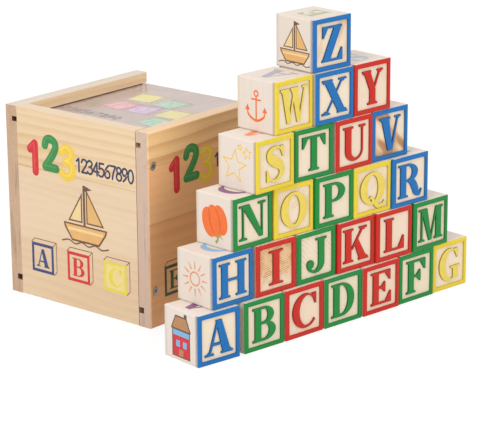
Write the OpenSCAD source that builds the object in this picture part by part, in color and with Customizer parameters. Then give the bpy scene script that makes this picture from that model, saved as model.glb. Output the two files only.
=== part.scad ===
// Alphabet block set: a stepped wall of carved wooden letter blocks and the
// pine storage crate, with a sliding clear lid, that they pack away in.

/* [Blocks] */
// Edge length of one block
block_edge = 30; // [24:0.5:45]
// Rounding of a block's edges
block_rounding = 1; // [0.4:0.1:2]
// Width of the raised border round a carved face
border_w = 2.8; // [1.5:0.1:4.5]
// Depth of the carved floor below the border
carve_depth = 1; // [0.5:0.1:3]
// Rounding of the carved floor's corners
carve_rounding = 0.6; // [0.2:0.1:1.4]

/* [Wall of blocks] */
// Number of blocks in the lowest course
lowest_course = 7; // [7]
// Least air between the sides of two neighbours
side_gap = 0.3; // [0.2:0.1:1]
// Air between a block and the course under it
course_gap = 0.1; // [0.1:0.05:0.3]
// Turn of the wall against the crate, in degrees
wall_turn = 7.5; // [0:0.5:12]
// How far the wall starts ahead of the crate's front
wall_ahead = 31; // [10:1:60]
// How far the wall's front stands out beside the crate
wall_beside = 64; // [60:0.5:120]

/* [Crate] */
// Outer width of the crate, across its front
crate_w = 114; // [112:1:180]
// Outer depth of the crate, from front to back
crate_d = 114; // [112:1:180]
// Outer height of the crate
crate_h = 116; // [112:1:180]
// Thickness of the front, back and side panels
panel_t = 9.5; // [8:0.5:12]
// Easing of the panels' outer edges
panel_rounding = 0.8; // [0.3:0.1:1.5]

/* [Bottom panel] */
// Thickness of the plywood bottom
bottom_t = 3; // [2.5:0.5:5]
// Height of the bottom panel's underside above the ground
bottom_rise = 8.5; // [4:0.5:12]
// Depth of the groove that holds the bottom
bottom_groove_d = 4; // [2:0.5:5]
// Air between the bottom panel and its groove, each side
bottom_fit = 0.25; // [0.1:0.05:0.4]

/* [Lid] */
// Thickness of the clear lid
lid_t = 2; // [1.5:0.1:3]
// Height of the lid groove
lid_groove_h = 3; // [2.6:0.1:5]
// Depth of the lid groove
lid_groove_d = 4; // [2:0.5:5]
// How far the lid groove lies below the top of the side panels
lid_drop = 6.5; // [4:0.5:15]
// Air between the lid's edges and the bottom of its groove
lid_side_fit = 0.5; // [0.2:0.1:1]
// Air under the lid, above its groove's lower face
lid_rest_gap = 0.1; // [0.05:0.05:0.3]
// Air between the back panel's top and the lid
back_clearance = 0.5; // [0.3:0.1:2]
// Rounding of the lid's corners, seen from above
lid_corner_r = 1.2; // [0.5:0.1:1.8]

/* [Screws] */
// Radius of a countersunk screw head
screw_head_r = 2.7; // [2.2:0.1:3.4]
// Radius of a screw's shank
screw_r = 1.5; // [1:0.1:1.8]
// Length of a screw, head and point included
screw_len = 28; // [20:1:38]
// Height of a screw's point
screw_point = 3; // [2:0.5:5]
// Depth of a screw head below the panel's face
screw_sink = 0.2; // [0.1:0.1:0.5]
// Air round a screw in its hole
screw_fit = 0.1; // [0.05:0.05:0.2]
// Distance of the upper screws below the crate's top
screw_from_top = 20; // [15:1:30]
// Distance of the lower screws above the ground
screw_from_ground = 22; // [17:1:30]

/* [Hidden] */
// Overrun of every cut past the face it opens
cut_over = 1;
// Facet counts of the small roundings and of the screws
round_fn = 32;
screw_fn = 48;

letters = "abcdefghijklmnopqrstuvwxyz";
block_names = [for (c = letters) str("block_", c)];

// Blocks in each course, from the ground up; each course starts half a block
// further along, and the top block stands square on the one below it
course_counts = [lowest_course, lowest_course - 1, lowest_course - 2,
                 lowest_course - 3, lowest_course - 4, 1];
course_start_shares = [0, 0.5, 1, 1.5, 2, 3];
// Paint of each block's border and letter: blue, green, red or yellow
paint_codes = "bgrgrgybrgrrggygybygrbybrb";
// Small shift of each course along the wall, as a share of a block
course_slip_shares = [0, -0.11, -0.12, -0.13, -0.09, -0.09];
// Extra air ahead of each block in its course, as a share of a block
extra_gap_shares = [0, 0.055, 0, 0.015, 0.015, 0, 0,
                    0, 0.045, 0.03, 0.02, 0.005, 0.01,
                    0, 0.03, 0.005, 0, 0,
                    0, 0.035, 0.02, 0,
                    0, 0, 0.015,
                    0];
// How far each block stands back from the wall's front, as a share of a block
set_back_shares = [-0.01, -0.04, -0.05, -0.06, -0.08, -0.05, -0.02,
                   0.05, 0.02, 0.02, -0.01, -0.05, -0.06,
                   0.06, 0.06, 0.02, 0, -0.04,
                   -0.02, 0.04, 0.02, 0.06,
                   0.04, 0.01, 0.04,
                   0.05];
// Turn of each block in its place, in degrees
block_turns = [-2.5, -0.5, 0.5, 0, 0, 0.5, 0,
               0, -0.5, 0, 0, 0, 0.5,
               2.5, -0.5, 0, 0, 0,
               3, 0, 1, 0,
               2.5, 0.5, 0.5,
               0.5];

function sum_to(list, n) = n <= 0 ? 0 : list[n - 1] + sum_to(list, n - 1);
course_firsts = [for (c = [0 : len(course_counts)]) sum_to(course_counts, c)];
function course_of(i, c = 0) = i < course_firsts[c + 1] ? c : course_of(i, c + 1);

// Half the space that a turned block takes up across a plan axis
function half_span(turn) =
    (block_edge / 2 - block_rounding) * (abs(cos(turn)) + abs(sin(turn)))
    + block_rounding;

// Centre of block i, measured along the wall from the wall's start
function along(i) =
    let (course = course_of(i))
    i == course_firsts[course]
        ? (course_start_shares[course] + course_slip_shares[course] + 1 / 2) * block_edge
        : along(i - 1) + half_span(block_turns[i - 1]) + half_span(block_turns[i])
          + side_gap + extra_gap_shares[i] * block_edge;
function back_from_front(i) = (set_back_shares[i] + 1 / 2) * block_edge;
function height(i) = course_of(i) * (block_edge + course_gap) + block_edge / 2;

// The wall's start on the ground, from the crate's front right corner
wall_start = [-wall_ahead, -wall_beside];
function in_plan(a, b) = [wall_start[0] + a * cos(wall_turn) + b * sin(wall_turn),
                          wall_start[1] - a * sin(wall_turn) + b * cos(wall_turn)];
centres = [for (i = [0 : len(letters) - 1]) in_plan(along(i), back_from_front(i))];
spans = [for (turn = block_turns) half_span(turn - wall_turn)];

// The origin lies on the ground under the middle of the whole set
low_x = min(0, min([for (i = [0 : len(centres) - 1]) centres[i][0] - spans[i]]));
high_x = max(crate_d, max([for (i = [0 : len(centres) - 1]) centres[i][0] + spans[i]]));
low_y = min(0, min([for (i = [0 : len(centres) - 1]) centres[i][1] - spans[i]]));
high_y = max(crate_w, max([for (i = [0 : len(centres) - 1]) centres[i][1] + spans[i]]));
crate_corner = [-(low_x + high_x) / 2, -(low_y + high_y) / 2, 0];

inner_w = crate_w - 2 * panel_t;
inner_d = crate_d - 2 * panel_t;
lid_groove_z = crate_h - lid_drop - lid_groove_h;
lid_z = lid_groove_z + lid_rest_gap;
back_h = lid_z - back_clearance;
lid_front_x = panel_t - lid_groove_d + lid_side_fit;
lid_w = inner_w + 2 * (lid_groove_d - lid_side_fit);
bottom_groove_z = bottom_rise - bottom_fit;
bottom_groove_h = bottom_t + 2 * bottom_fit;
bottom_reach = bottom_groove_d - bottom_fit;
screw_heights = [screw_from_ground, crate_h - screw_from_top];

module rounded_square(w, h, r) {
    square([w - 2 * r, h], center = true);
    square([w, h - 2 * r], center = true);
    for (x = [-1, 1], y = [-1, 1])
        translate([x * (w / 2 - r), y * (h / 2 - r)]) circle(r, $fn = round_fn);
}

// A cube whose twelve edges are all rounded, centred on the origin
module eased_cube(edge, r) {
    intersection() {
        linear_extrude(edge, center = true) rounded_square(edge, edge, r);
        rotate([90, 0, 0]) linear_extrude(edge, center = true) rounded_square(edge, edge, r);
        rotate([0, 90, 0]) linear_extrude(edge, center = true) rounded_square(edge, edge, r);
    }
}

// One block, centred on the origin, with its two carved faces to -Y and +Y
module letter_block() {
    floor_w = block_edge - 2 * border_w;
    difference() {
        eased_cube(block_edge, block_rounding);
        for (turn = [0, 180])
            rotate([0, 0, turn])
                translate([0, carve_depth - block_edge / 2, 0])
                    rotate([90, 0, 0])
                        linear_extrude(carve_depth + cut_over)
                            rounded_square(floor_w, floor_w, carve_rounding);
    }
}

module placed_block(i) {
    code = paint_codes[i];
    color(code == "b" ? "royalblue" : code == "g" ? "seagreen" : code == "r" ? "crimson" : "gold")
        translate([crate_corner[0] + centres[i][0], crate_corner[1] + centres[i][1], height(i)])
            rotate([0, 0, block_turns[i] - wall_turn])
                letter_block();
}

// Places its children at the four corners where a screw enters one side,
// pointing to -Y out of the right side panel
module at_side_screws() {
    for (x = [panel_t / 2, crate_d - panel_t / 2], z = screw_heights)
        translate([x, 0, z]) rotate([90, 0, 0]) children();
}

// All eight screws enter from the two sides
module at_screws() {
    at_side_screws() children();
    translate([0, crate_w, 0]) mirror([0, 1, 0]) at_side_screws() children();
}

// A countersunk screw with its head's face towards +Z; grow widens it to a hole
module screw(grow) {
    head_h = screw_head_r - screw_r;
    rotate_extrude($fn = screw_fn)
        polygon([[0, -screw_sink], [screw_head_r + grow, -screw_sink],
                 [screw_r + grow, -screw_sink - head_h],
                 [screw_r + grow, screw_point - screw_len],
                 [0, -screw_len]]);
}

// The hole for a screw, open to the face that its head sinks into
module screw_hole() {
    screw(screw_fit);
    translate([0, 0, -screw_sink - screw_fit])
        cylinder(h = screw_sink + screw_fit + cut_over, r = screw_head_r + screw_fit, $fn = screw_fn);
}

// The groove for the bottom panel, a slab as wide as the space plus both grooves
module bottom_groove() {
    translate([panel_t - bottom_groove_d, panel_t - bottom_groove_d, bottom_groove_z])
        cube([inner_d + 2 * bottom_groove_d, inner_w + 2 * bottom_groove_d, bottom_groove_h]);
}

// A side panel at the crate's right: planed edges, and two grooves run through
// from end to end
module side_panel() {
    difference() {
        intersection() {
            translate([crate_d / 2, panel_t / 2, 0])
                linear_extrude(crate_h) rounded_square(crate_d, panel_t, panel_rounding);
            translate([0, panel_t / 2, crate_h / 2])
                rotate([90, 0, 90])
                    linear_extrude(crate_d) rounded_square(panel_t, crate_h, panel_rounding);
        }
        for (groove = [[lid_groove_z, lid_groove_h, lid_groove_d],
                       [bottom_groove_z, bottom_groove_h, bottom_groove_d]])
            translate([-cut_over, panel_t - groove[2], groove[0]])
                cube([crate_d + 2 * cut_over, groove[2] + cut_over, groove[1]]);
        at_side_screws() screw_hole();
    }
}

// A panel between the two sides: h is its height and x its outer face's place
module cross_panel(x, h) {
    difference() {
        translate([x + panel_t / 2, crate_w / 2, h / 2])
            rotate([90, 0, 0])
                linear_extrude(inner_w, center = true) rounded_square(panel_t, h, panel_rounding);
        bottom_groove();
        at_screws() screw(screw_fit);
    }
}

module front_panel() {
    color("burlywood")
        translate(crate_corner)
            difference() {
                cross_panel(0, crate_h);
                translate([panel_t - lid_groove_d, 0, lid_groove_z])
                    cube([lid_groove_d + cut_over, crate_w, lid_groove_h]);
            }
}

module back_panel() {
    color("burlywood") translate(crate_corner) cross_panel(crate_d - panel_t, back_h);
}

module right_side_panel() {
    color("tan") translate(crate_corner) side_panel();
}

module left_side_panel() {
    color("tan") translate(crate_corner) translate([0, crate_w, 0]) mirror([0, 1, 0]) side_panel();
}

module bottom_panel() {
    color("wheat")
        translate(crate_corner)
            translate([panel_t - bottom_reach, panel_t - bottom_reach, bottom_rise])
                cube([inner_d + 2 * bottom_reach, inner_w + 2 * bottom_reach, bottom_t]);
}

// The clear lid slides in the side grooves and out over the lower back panel
module lid() {
    color("lightblue", 0.4)
        translate(crate_corner)
            translate([(lid_front_x + crate_d) / 2, crate_w / 2, lid_z])
                linear_extrude(lid_t)
                    rounded_square(crate_d - lid_front_x, lid_w, lid_corner_r);
}

module screws() {
    color("silver") translate(crate_corner) at_screws() screw(0);
}

front_panel();
back_panel();
left_side_panel();
right_side_panel();
bottom_panel();
lid();
screws();
for (i = [0 : len(letters) - 1])
    placed_block(i);
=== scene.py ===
"""Looks of the alphabet block set: painted and printed wood blocks beside their pine crate."""
import random
from math import atan2, copysign, cos, pi, radians, sin

import bmesh
import bpy
from mathutils import Matrix, Vector
from mathutils.geometry import delaunay_2d_cdt


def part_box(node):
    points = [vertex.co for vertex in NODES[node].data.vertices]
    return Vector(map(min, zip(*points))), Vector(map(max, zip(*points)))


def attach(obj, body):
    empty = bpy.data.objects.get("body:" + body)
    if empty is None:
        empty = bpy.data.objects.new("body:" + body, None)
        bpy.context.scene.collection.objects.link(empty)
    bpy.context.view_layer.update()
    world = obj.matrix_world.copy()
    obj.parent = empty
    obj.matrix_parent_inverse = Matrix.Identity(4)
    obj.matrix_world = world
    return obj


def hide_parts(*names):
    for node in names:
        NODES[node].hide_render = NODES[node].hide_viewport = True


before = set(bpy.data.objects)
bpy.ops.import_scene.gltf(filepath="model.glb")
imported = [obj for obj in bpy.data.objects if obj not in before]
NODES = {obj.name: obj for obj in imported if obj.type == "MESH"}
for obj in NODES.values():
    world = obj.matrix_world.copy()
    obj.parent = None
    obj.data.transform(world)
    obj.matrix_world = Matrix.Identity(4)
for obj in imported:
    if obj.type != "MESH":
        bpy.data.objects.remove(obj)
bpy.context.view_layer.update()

MM = 0.001

# Sizes in millimetres: the block's carved faces repeat the part's own values
BLOCK = 30.0
HALF = BLOCK / 2
CARVE = 1.0
BORDER = 2.8         # width of the carved faces' raised border
CAP = 20.0           # height of a carved letter
LETTER_FOOT = -1.02  # a carved letter's underside, just in the floor, from the block's face
LETTER_TOP = -0.03   # its top
LETTER_EASE = 0.2    # its eased edge
PRINT_CAP = 15.0     # height of a printed letter
INK_LIFT = 0.03      # an ink layer's underside above the wood
INK_THICK = 0.02

LETTERS = "abcdefghijklmnopqrstuvwxyz"
PAINT_CODES = "bgrgrgybrgrrggygybygrbybrb"


def srgb(red, green, blue):
    """A colour as Blender wants it, from the 0 to 255 values that a screen shows."""
    def linear(c):
        c /= 255
        return c / 12.92 if c <= 0.04045 else ((c + 0.055) / 1.055) ** 2.4
    return (linear(red), linear(green), linear(blue), 1.0)


def shaded(color, share, added_tone=(0.0, 0.0, 0.0)):
    """A share of a colour, with a tone added to it."""
    return [c * share + d for c, d in zip(color[:3], added_tone)] + [1.0]


PAINTS = {
    "b": ("paint_blue", srgb(8, 109, 180)),
    "g": ("paint_green", srgb(5, 132, 52)),
    "r": ("paint_red", srgb(199, 33, 12)),
    "y": ("paint_yellow", srgb(233, 206, 54)),
}
INKS = {name: srgb(*tone) for name, tone in {
    "red": (208, 32, 44), "orange": (240, 110, 35), "peach": (225, 150, 95), "yellow": (235, 205, 80),
    "green": (42, 134, 64), "forest": (45, 75, 40), "olive": (160, 160, 60), "sky": (120, 180, 225),
    "blue": (50, 105, 185), "navy": (38, 44, 82), "denim": (40, 62, 118), "zest": (228, 212, 70),
    "zest_wash": (238, 214, 142), "slate": (128, 122, 138), "purple": (125, 70, 125),
    "tan": (180, 130, 85), "brown": (130, 75, 45), "pink": (225, 120, 140), "gold": (240, 200, 60),
    "lemon": (236, 226, 140), "mint": (160, 204, 180), "rose": (232, 158, 172), "lilac": (208, 178, 214),
    "pale_lemon": (232, 224, 178), "pale_mint": (196, 214, 200), "pale_rose": (232, 194, 196),
    "pale_lilac": (220, 202, 218), "red_glint": (222, 66, 76), "green_glint": (66, 150, 84),
    "gold_glint": (246, 216, 104), "outline": (104, 72, 48), "cream": (240, 208, 150),
    "honey": (226, 176, 108),
}.items()}


# Camera: where the photograph was taken from
EYE = Vector((-0.9529, -0.8193, 0.4234))
AZIMUTH = radians(-49.81)
ELEVATION = radians(16.71)
ROLL = radians(-0.45)
FOCAL_PX = 2197.5
PHOTO_W = 485

# The studio: half the floor's width in metres, and each lamp's place, size and power
FLOOR_R = 4.0
WHITE = (1.0, 1.0, 1.0, 1.0)
WORLD_LIGHT = 0.6
LAMPS = {
    "key": ((-1.7, -0.35, 1.3), 1.1, 17.5),
    "fill": ((-0.1, -1.7, 0.75), 1.3, 9),
    "overhead": ((0.25, 0.35, 1.9), 1.2, 4.8),
}


def linked(name, data):
    ob = bpy.data.objects.new(name, data)
    bpy.context.scene.collection.objects.link(ob)
    return ob


def add_camera():
    cam = bpy.data.cameras.new("camera")
    cam.sensor_width = 36.0
    cam.lens = FOCAL_PX / PHOTO_W * cam.sensor_width
    cam.clip_start = 0.05
    cam.clip_end = 30
    ob = linked("camera", cam)
    back = Vector((sin(AZIMUTH) * cos(ELEVATION),
                   -cos(AZIMUTH) * cos(ELEVATION), sin(ELEVATION)))
    level = back.to_track_quat("Z", "Y").to_matrix().to_4x4()
    ob.matrix_world = Matrix.Translation(EYE) @ level @ Matrix.Rotation(ROLL, 4, "Z")
    bpy.context.scene.camera = ob


def add_lamp(name, place, size, power):
    data = bpy.data.lights.new(name, "AREA")
    data.shape = "DISK"
    data.size = size
    data.energy = power
    ob = linked(name, data)
    aim = Vector((0, 0, 0.06)) - place
    ob.matrix_world = Matrix.Translation(place) @ aim.to_track_quat("-Z", "Y").to_matrix().to_4x4()


class Graph:
    """A small helper that builds the nodes of a material or of the world."""

    def __init__(self, name, world=False):
        self.owner = (bpy.data.worlds if world else bpy.data.materials).new(name)
        self.owner.use_nodes = True
        self.tree = self.owner.node_tree
        self.tree.nodes.clear()
        self.out = self.tree.nodes.new("ShaderNodeOutputWorld" if world else "ShaderNodeOutputMaterial")

    def add(self, kind, inputs=None, **settings):
        node = self.tree.nodes.new("ShaderNode" + kind)
        for key, value in settings.items():
            setattr(node, key, value)
        for key, value in (inputs or {}).items():
            if isinstance(value, bpy.types.NodeSocket):
                self.tree.links.new(value, node.inputs[key])
            else:
                node.inputs[key].default_value = value
        return node

    def math(self, operation, a, b=0.0, c=0.0):
        return self.add("Math", {0: a, 1: b, 2: c}, operation=operation).outputs[0]

    def times(self, *values):
        total = values[0]
        for value in values[1:]:
            total = self.math("MULTIPLY", total, value)
        return total

    def plus(self, a, b):
        return self.math("ADD", a, b)

    def minus(self, a, b):
        return self.math("SUBTRACT", a, b)

    def size(self, a):
        return self.math("ABSOLUTE", a)

    def part(self, vector, axis):
        return self.add("SeparateXYZ", {0: vector}).outputs[axis]

    def mapping(self, vector, **settings):
        return self.add("Mapping", {"Vector": vector, **settings}).outputs[0]

    def vector(self, operation, a, b):
        return self.add("VectorMath", {0: a, 1: b}, operation=operation).outputs[0]

    def noise(self, vector, scale, detail=3.0, rough=0.5):
        node = self.add("TexNoise", {"Vector": vector, "Scale": scale, "Detail": detail, "Roughness": rough})
        return node.outputs["Fac"]

    def remap(self, value, low, high, out_low=0.0, out_high=1.0):
        return self.add("MapRange", {0: value, 1: low, 2: high, 3: out_low, 4: out_high},
                        interpolation_type="SMOOTHSTEP").outputs[0]

    def mix(self, amount, a, b):
        return self.add("Mix", {"Factor": amount, 6: a, 7: b}, data_type="RGBA").outputs[2]

    def spot(self, matrix=Matrix.Identity(4)):
        """Object coordinates in millimetres, in the frame given by matrix."""
        inverse = matrix.inverted()
        placed = self.mapping(self.add("TexCoord").outputs["Object"], Location=inverse.translation,
                              Rotation=inverse.to_euler())
        return self.mapping(placed, Scale=(1 / MM,) * 3)

    def finish(self, color, roughness, height, distance, **constants):
        """Principled shading over bumps of a height; the names of constants have _ for a space."""
        inputs = {key.replace("_", " "): value for key, value in constants.items()}
        bump = self.add("Bump", {"Height": height, "Distance": distance, "Strength": 1.0}).outputs[0]
        inputs.update({"Base Color": color, "Roughness": roughness, "Normal": bump})
        return self.close(self.add("BsdfPrincipled", inputs).outputs[0])

    def shader(self, kind, color, **settings):
        return self.add(kind, {"Color": color, **settings}).outputs[0]

    def blend(self, amount, a, b):
        return self.add("MixShader", {0: amount, 1: a, 2: b}).outputs[0]

    def close(self, shader):
        self.tree.links.new(shader, self.out.inputs[0])
        return self.owner


def ring_grain(g, spot, along, pith, spacing, wobble):
    """Growth rings round a pith line along one axis: 0 in early wood to 1 in late wood."""
    stretch = [0.006 if axis == along else 0.035 for axis in "xyz"]
    slow = g.mapping(spot, Scale=stretch)
    drift = g.add("TexNoise", {"Vector": slow, "Scale": 1.0, "Detail": 2.0, "Roughness": 0.45})
    bent = g.vector("ADD", spot, g.vector("MULTIPLY", drift.outputs["Color"], (wobble,) * 3))
    flat = [0.0 if axis == along else 1.0 for axis in "xyz"]
    across = g.vector("MULTIPLY", g.vector("SUBTRACT", bent, pith), flat)
    radius = g.add("VectorMath", {0: across}, operation="LENGTH").outputs["Value"]
    turn = g.math("FRACT", g.math("DIVIDE", radius, spacing))
    rise = g.remap(turn, 0.25, 0.86)
    fall = g.remap(turn, 0.92, 1.0, 1.0, 0.0)
    return g.times(rise, fall)


def fibres(g, spot, along, fine=1.0):
    """Thin streaks along the grain."""
    stretch = [0.06 if axis == along else 2.2 * fine for axis in "xyz"]
    return g.noise(g.mapping(spot, Scale=stretch), 1.0, 4.0, 0.62)


def block_wood(g, spot, rng):
    """Pale close-grained wood, straight in the grain, a little different in each block."""
    along = rng.choice("zzx")
    pith = (rng.uniform(40, 90) * rng.choice((-1, 1)), rng.uniform(30, 80), rng.uniform(-90, -40))
    rings = ring_grain(g, spot, along, pith, rng.uniform(1.8, 2.8), 3.0)
    streak = fibres(g, spot, along)
    tone = rng.uniform(-1, 1)
    pale = srgb(234 + 2 * tone, 222 + 2 * tone, 211 + 3 * tone)
    wood = g.mix(g.times(rings, 0.12), pale, srgb(220, 202, 182))
    wood = g.mix(g.remap(streak, 0.52, 0.78, 0.0, 0.24), wood, srgb(210, 188, 164))
    return wood, rings, streak


def paint_film(g, spot, streak, paint):
    """Rolled-on paint, a little thinner and deeper in patches."""
    blotch = g.noise(spot, 0.35, 3.0)
    film = g.mix(g.remap(blotch, 0.35, 0.7, 0.0, 0.2), paint, shaded(paint, 0.72))
    thin = g.times(g.remap(g.noise(spot, 2.4, 4.0, 0.7), 0.62, 0.8), g.remap(streak, 0.45, 0.7))
    return g.mix(g.times(thin, 0.25), film, srgb(236, 216, 192))


# How much of the border's colour a carved floor takes on
TINGE = {"r": 0.06, "g": 0.03, "y": 0.04}
# The first blocks of the courses have clean sides
COURSE_STARTS = "ahnswz"
# The paint that runs over the side faces, darkened there as a painted shade of the gaps between blocks,
# by block: how much, the share of the paint's colour, the tone added under it, and how far the paint wraps
# round the upright corners
SPILL_SHADES = ((COURSE_STARTS, 0.7, 0.3, (0.10, 0.07, 0.05), 0.25),
          ("bcdeijtux", 0.65, 0.58, (0.13, 0.085, 0.06), 0.25),
          ("fgklmopqrvy", 0.9, 0.42, (0.02, 0.015, 0.01), 1.5))
# How far short of the rear corners the paint of the courses' first blocks stops, mm
REAR_TRIM = 0.35
# Blocks with darker figure in the carved floor: how much of it, its lean in radians and its shift
FIGURE = {"v": (0.95, 0.8, 6.4), "z": (0.3, -0.4, 0.0)}
# Cutter marks that stand out: angle in radians, pitch in mm, strength, colour
CUTTER = {"o": (0.95, 1.5, 0.55, (205, 160, 110)), "q": (0.75, 1.5, 0.5, (215, 175, 120)),
          "j": (-0.75, 2.4, 0.35, (214, 172, 140)), "i": (0.18, 1.25, 1.0, (186, 120, 48)),
          "y": (1.57, 1.8, 0.3, (214, 172, 140)), "m": (1.5, 2.0, 0.5, (205, 165, 120)),
          "s": (1.57, 1.6, 0.3, (200, 160, 120))}
# The other blocks' cutter marks, nearly level, and the scale that gives a wave a pitch of 1 mm
FAINT_MARKS = (1.0, 0.10, (214, 178, 136))
WAVE_SCALE = 0.314


def block_material(i, place, rng):
    """Bare wood, cutter marks on the carved floors, and paint on the skin of the two carved faces."""
    letter = LETTERS[i]
    _, paint = PAINTS[PAINT_CODES[i]]
    g = Graph("block_" + letter)
    spot = g.spot(place)
    wood, rings, streak = block_wood(g, spot, rng)
    parts = g.add("SeparateXYZ", {0: spot}).outputs
    across, depth, aloft = (g.size(parts[axis]) for axis in "XYZ")
    floor_at = HALF - CARVE
    below = g.remap(depth, floor_at + 0.1, floor_at + 0.3, 1.0, 0.0)
    floor = g.times(below, g.remap(depth, floor_at - 0.3, floor_at - 0.1))
    wood = g.mix(g.times(floor, 0.8), wood, srgb(246, 228, 200))
    wood = g.mix(g.times(floor, TINGE.get(PAINT_CODES[i], 0.0)), wood, paint)
    if letter in FIGURE:
        amount, lean, shift = FIGURE[letter]
        leaning = g.mapping(spot, Rotation=(0, lean, 0))
        stretched = g.mapping(leaning, Location=(shift, 0, 0), Scale=(0.1, 0.1, 0.035))
        cloud = g.noise(stretched, 1.0, 2.5, 0.45)
        wash = g.times(g.remap(cloud, 0.36, 0.52), floor, amount * 0.5)
        wood = g.mix(wash, wood, srgb(226, 176, 120))
        dark = g.times(g.remap(cloud, 0.47, 0.6), floor, amount)
        wood = g.mix(dark, wood, srgb(180, 126, 82))
    angle, pitch, strength, color = CUTTER.get(letter, (rng.uniform(-0.1, 0.1), *FAINT_MARKS))
    turned = g.mapping(spot, Rotation=(0, angle, 0))
    marks = g.add("TexWave", {"Vector": turned, "Scale": WAVE_SCALE / pitch, "Distortion": 3.0,
                              "Detail": 3.0, "Detail Scale": 1.4},
                  wave_type="BANDS", bands_direction="Z").outputs["Fac"]
    patch = g.remap(g.noise(spot, 0.12, 2.0), 0.4, 0.6, 0.25, 1.0)
    # This block's floor is honey-coloured towards its top
    if letter == "i":
        wash = g.remap(g.plus(parts["Z"], g.times(g.noise(spot, 0.2, 3.0), 14.0)), -7.0, 9.0)
        wood = g.mix(g.times(wash, floor, 0.5), wood, srgb(232, 176, 92))
        patch = g.remap(g.noise(spot, 0.22, 2.0), 0.4, 0.6, 0.3, 1.0)
        patch = g.times(g.remap(wash, 0.1, 0.8, 0.2, 1.0), patch)
    marks = g.times(g.math("POWER", marks, 1.6), patch, floor, strength)
    wood = g.mix(marks, wood, srgb(*color))
    # The paint's edge wanders on the eased corners
    edge = g.times(g.minus(g.noise(spot, 0.8, 3.0), 0.5), 0.4)
    _, amount, share, added_tone, most = next(row for row in SPILL_SHADES if letter in row[0])
    wrap = g.remap(across, HALF - 1.0, HALF - 0.1, 0.0, most)
    rear = g.remap(parts["Y"], 0.0, 1.0, 0.0, REAR_TRIM if letter in COURSE_STARTS else 0.0)
    reach = g.minus(g.plus(depth, edge), rear)
    skin = g.remap(g.plus(reach, wrap), HALF - 0.62, HALF - 0.42)
    inward = g.math("MAXIMUM", across, aloft)
    # The recess walls take the paint, mixed darker there as a painted shade
    wall = g.times(g.remap(depth, floor_at + 0.06, floor_at + 0.16),
                   g.remap(inward, HALF - BORDER + 0.02, HALF - BORDER + 0.1, 1.0, 0.0))
    film = paint_film(g, spot, streak, paint)
    shaded_wall_paint = g.mix(0.5, film, shaded(paint, 0.4))
    # Darker paint on the side faces next to the carved faces: partly paint that ran over, partly a painted
    # shade of the gaps between blocks
    wavy = g.plus(depth, g.times(edge, 2.0))
    spill_shade = g.remap(wavy, HALF - 3.4, HALF - 1.0, 0.0, amount)
    spill_shade = g.times(spill_shade, g.remap(rear, 0.0, REAR_TRIM, 1.0, 0.2))
    wood = g.mix(g.times(spill_shade, g.remap(across, HALF - 0.6, HALF - 0.3)), wood,
                 shaded(paint, share, added_tone))
    color = g.mix(wall, g.mix(skin, wood, film), shaded_wall_paint)
    rough = g.plus(g.times(skin, -0.1), g.remap(streak, 0.3, 0.8, 0.54, 0.68))
    height = g.plus(g.times(streak, 0.35), g.plus(g.times(marks, -0.9), g.times(rings, -0.12)))
    height = g.plus(height, g.times(g.noise(spot, 1.6, 2.0), 0.25))
    return g.finish(color, rough, height, 0.0001, Specular_IOR_Level=0.35)


def letter_material(i, place, rng):
    """Paint on a raised letter: full on its flat top, and running down its edges, where it is darkened as a
    painted shade.
    """
    _, paint = PAINTS[PAINT_CODES[i]]
    g = Graph("letter_" + LETTERS[i])
    spot = g.spot(place)
    streak = fibres(g, spot, rng.choice("zx"))
    film = paint_film(g, spot, streak, paint)
    depth = g.size(g.part(spot, "Y"))
    if PAINT_CODES[i] == "y":
        film = g.mix(0.14, film, srgb(246, 232, 190))
    # Below the flat top the paint runs on darker, a painted shade
    edge = g.remap(depth, HALF - 0.22, HALF - 0.06)
    color = g.mix(edge, shaded(paint, 0.34), film)
    rough = g.remap(streak, 0.3, 0.8, 0.44, 0.58)
    height = g.plus(g.times(streak, 0.3), g.times(g.noise(spot, 1.6, 2.0), 0.3))
    return g.finish(color, rough, height, 0.0001, Specular_IOR_Level=0.35)


def ink_material(name):
    """Screen-printed ink that lets a little of the wood through."""
    g = Graph("ink_" + name)
    spot = g.spot()
    speck = g.noise(spot, 1.8, 4.0, 0.65)
    cloud = g.noise(spot, 0.25, 2.0)
    # Prints that lie upwards are rubbed paler, the upper blocks' most
    upward = g.part(g.add("NewGeometry").outputs["Normal"], "Z")
    aloft = g.part(spot, "Z")
    rubbed = g.times(g.remap(upward, 0.6, 0.9), g.remap(aloft, 95, 155, 0.05, 0.5))
    worn = g.plus(g.times(g.remap(speck, 0.52, 0.72), 0.2), rubbed)
    light = [min(1, c) for c in shaded(INKS[name], 1.35, (0.02,) * 3)]
    color = g.mix(g.remap(cloud, 0.3, 0.7, 0.0, 0.18), INKS[name], light)
    color = g.mix(worn, color, srgb(238, 218, 192))
    return g.finish(color, g.remap(speck, 0.3, 0.7, 0.5, 0.62), speck, 0.00003)


# The heights of the bottom's and the lid's grooves, and how deep they are cut
GROOVES = ((8.25, 11.75), (106.5, 109.5))
GROOVE_DEPTH = 4.0


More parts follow.
